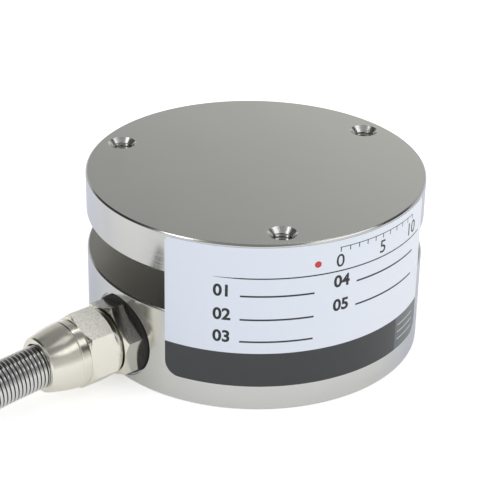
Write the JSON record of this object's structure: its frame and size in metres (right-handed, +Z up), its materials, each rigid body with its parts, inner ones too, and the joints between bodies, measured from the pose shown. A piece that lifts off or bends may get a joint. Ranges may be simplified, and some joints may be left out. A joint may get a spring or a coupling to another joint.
{
  "type": "miniature load cell",
  "caption": "Low round steel load cell with a grooved waist, tapped holes in top and base, a side cable gland and a spring-armoured lead wound into a tied coil.",
  "frame": {"origin": "centre of the base face, on the body's axis", "axes": "+Z up through the body's axis to the loading face, -Y out of the cable gland along the lead"},
  "size_m": [0.1663, 0.219, 0.042],
  "materials": {
    "body_steel": "turned stainless steel, polished rim, satin-ground top face",
    "cover_steel": "turned stainless steel",
    "screw_steel": "plain steel",
    "nickel_plate": "satin nickel plate over brass",
    "hose_steel": "close-wound spring wire",
    "label_film": "printed silver-white film",
    "seal_rubber": "moulded nitrile rubber",
    "gauge_film": "amber polyimide film with metal foil",
    "terminal_copper": "copper pads on film",
    "board_laminate": "green solder mask on glass laminate",
    "pad_foam": "foam tape",
    "resistor_blue": "lacquered resistor body",
    "resistor_tan": "lacquered resistor body",
    "red_insulation": "extruded wire insulation",
    "black_insulation": "extruded wire insulation",
    "green_insulation": "extruded wire insulation",
    "white_insulation": "extruded wire insulation",
    "tinned_copper": "tinned strands",
    "cable_jacket": "extruded jacket",
    "tie_nylon": "moulded nylon"
  },
  "bodies": {
    "root": {"load_cell_body": "body_steel", "bottom_cover": "cover_steel", "cover_gasket": "seal_rubber", "cover_screws": "screw_steel", "rating_label": "label_film", "strain_gauge_1": "gauge_film", "strain_gauge_2": "gauge_film", "strain_gauge_3": "gauge_film", "strain_gauge_4": "gauge_film", "solder_terminal_1": "terminal_copper", "solder_terminal_2": "terminal_copper", "solder_terminal_3": "terminal_copper", "solder_terminal_4": "terminal_copper", "gauge_wires_1": "red_insulation", "gauge_wires_2": "red_insulation", "gauge_wires_3": "red_insulation", "gauge_wires_4": "red_insulation", "board_pad": "pad_foam", "bridge_board": "board_laminate", "span_resistor_1": "resistor_blue", "span_resistor_2": "resistor_blue", "zero_resistor": "resistor_tan", "core_wire_red": "red_insulation", "core_wire_black": "black_insulation", "core_wire_green": "green_insulation", "core_wire_white": "white_insulation", "drain_wire": "tinned_copper", "signal_cable": "cable_jacket", "gland_seal": "seal_rubber", "gland_body": "nickel_plate", "gland_grommet": "seal_rubber", "grommet_washer": "nickel_plate", "gland_nut": "nickel_plate", "armour_hose": "hose_steel", "hose_coil": "hose_steel", "coil_tie_1": "tie_nylon", "coil_tie_2": "tie_nylon", "coil_tie_3": "tie_nylon", "hose_ferrule": "nickel_plate", "cable_tail": "cable_jacket", "lead_red": "red_insulation", "lead_black": "black_insulation", "lead_green": "green_insulation", "lead_white": "white_insulation", "lead_shield": "tinned_copper"}
  },
  "joints": []
}
